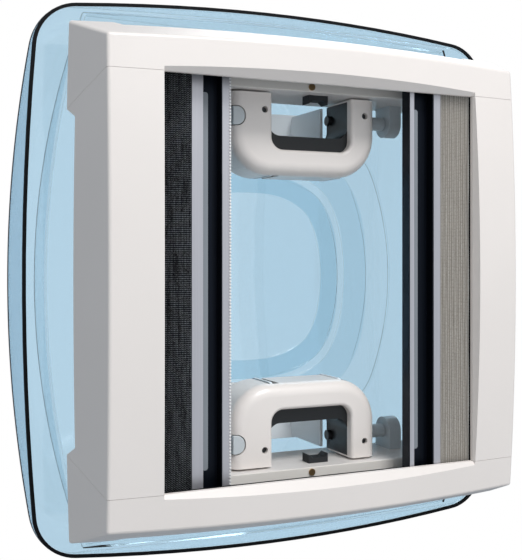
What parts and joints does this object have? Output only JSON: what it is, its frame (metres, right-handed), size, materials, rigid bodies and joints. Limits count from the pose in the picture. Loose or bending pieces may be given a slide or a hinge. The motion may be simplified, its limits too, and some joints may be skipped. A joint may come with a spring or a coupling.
{
  "type": "roof light",
  "caption": "Pop-up roof light with a tinted double dome, lift levers, and pleated blackout and fly-screen blinds in a white trim.",
  "frame": {"origin": "centre of the roof opening on the roof's outer surface", "axes": "+Z out of the roof through the dome, +X along the travel of the blinds from the fly-screen side to the blackout side, +Y towards the rear lever"},
  "size_m": [0.5314, 0.5486, 0.2301],
  "materials": {
    "white_plastic": "satin",
    "black_plastic": "satin",
    "grey_plastic": "satin",
    "pale_blue_plastic": "satin",
    "tinted_acrylic": "polished",
    "black_rubber": "matte",
    "aluminium": "satin",
    "steel": "satin",
    "brass_screw": "satin",
    "black_mesh": "woven",
    "beige_pleats": "pleated"
  },
  "bodies": {
    "base": {"blackout_anchor": "black_plastic", "blackout_pleats": "beige_pleats", "dome_seal": "black_rubber", "flyscreen_anchor": "black_plastic", "flyscreen_pleats": "black_mesh", "front_bracket_left": "grey_plastic", "front_bracket_right": "grey_plastic", "front_rest_pad": "black_rubber", "guide_rail_front": "white_plastic", "guide_rail_rear": "white_plastic", "ledge_screws": "brass_screw", "rear_bracket_left": "grey_plastic", "rear_bracket_right": "grey_plastic", "rear_rest_pad": "black_rubber", "roof_frame": "white_plastic", "roof_gasket": "black_rubber", "stile_left": "white_plastic", "stile_right": "white_plastic", "trim_rail_front": "white_plastic", "trim_rail_rear": "white_plastic"},
    "dome": {"outer_dome": "tinted_acrylic", "inner_pane": "tinted_acrylic", "rim_edge_strip": "black_rubber", "front_dome_bracket": "pale_blue_plastic", "rear_dome_bracket": "pale_blue_plastic"},
    "front_lever": {"front_handle_cover": "white_plastic", "front_cover_screws": "steel", "front_grip": "black_plastic", "front_dome_pin": "steel", "front_shaft_left": "grey_plastic", "front_shaft_right": "grey_plastic"},
    "rear_lever": {"rear_handle_cover": "white_plastic", "rear_cover_screws": "steel", "rear_grip": "black_plastic", "rear_dome_pin": "steel", "rear_shaft_left": "grey_plastic", "rear_shaft_right": "grey_plastic"},
    "front_button": {"front_lock_button": "grey_plastic"},
    "rear_button": {"rear_lock_button": "grey_plastic"},
    "blackout_blind": {"blackout_bar": "aluminium", "blackout_finger_grip": "grey_plastic"},
    "flyscreen_blind": {"flyscreen_bar": "aluminium", "flyscreen_finger_grip": "grey_plastic"}
  },
  "joints": [
    {"name": "dome_lift", "type": "slide", "parent": "base", "child": "dome", "axis": [0, 0, 1], "range_m": [0, 0.0465]},
    {"name": "front_lever_swing", "type": "hinge", "parent": "base", "child": "front_lever", "pos_m": [0, -0.162, 0.002], "axis": [1, 0, 0], "range_deg": [0, 50.5]},
    {"name": "rear_lever_swing", "type": "hinge", "parent": "base", "child": "rear_lever", "pos_m": [0, 0.162, 0.002], "axis": [-1, 0, 0], "range_deg": [0, 50.5]},
    {"name": "front_button_press", "type": "slide", "parent": "front_lever", "child": "front_button", "axis": [0, 0, 1], "range_m": [0, 0.003], "stiffness_N_per_m": 400, "springref_m": -0.001},
    {"name": "rear_button_press", "type": "slide", "parent": "rear_lever", "child": "rear_button", "axis": [0, 0, 1], "range_m": [0, 0.003], "stiffness_N_per_m": 400, "springref_m": -0.001},
    {"name": "blackout_slide", "type": "slide", "parent": "base", "child": "blackout_blind", "axis": [-1, 0, 0], "range_m": [0, 0.25], "deforming": ["blackout_pleats"]},
    {"name": "flyscreen_slide", "type": "slide", "parent": "base", "child": "flyscreen_blind", "axis": [1, 0, 0], "range_m": [0, 0.25], "deforming": ["flyscreen_pleats"]}
  ],
  "couplings": [
    {"joint": "front_lever_swing", "follows": "dome_lift", "rad_per_m": 18.772},
    {"joint": "rear_lever_swing", "follows": "dome_lift", "rad_per_m": 18.772}
  ]
}
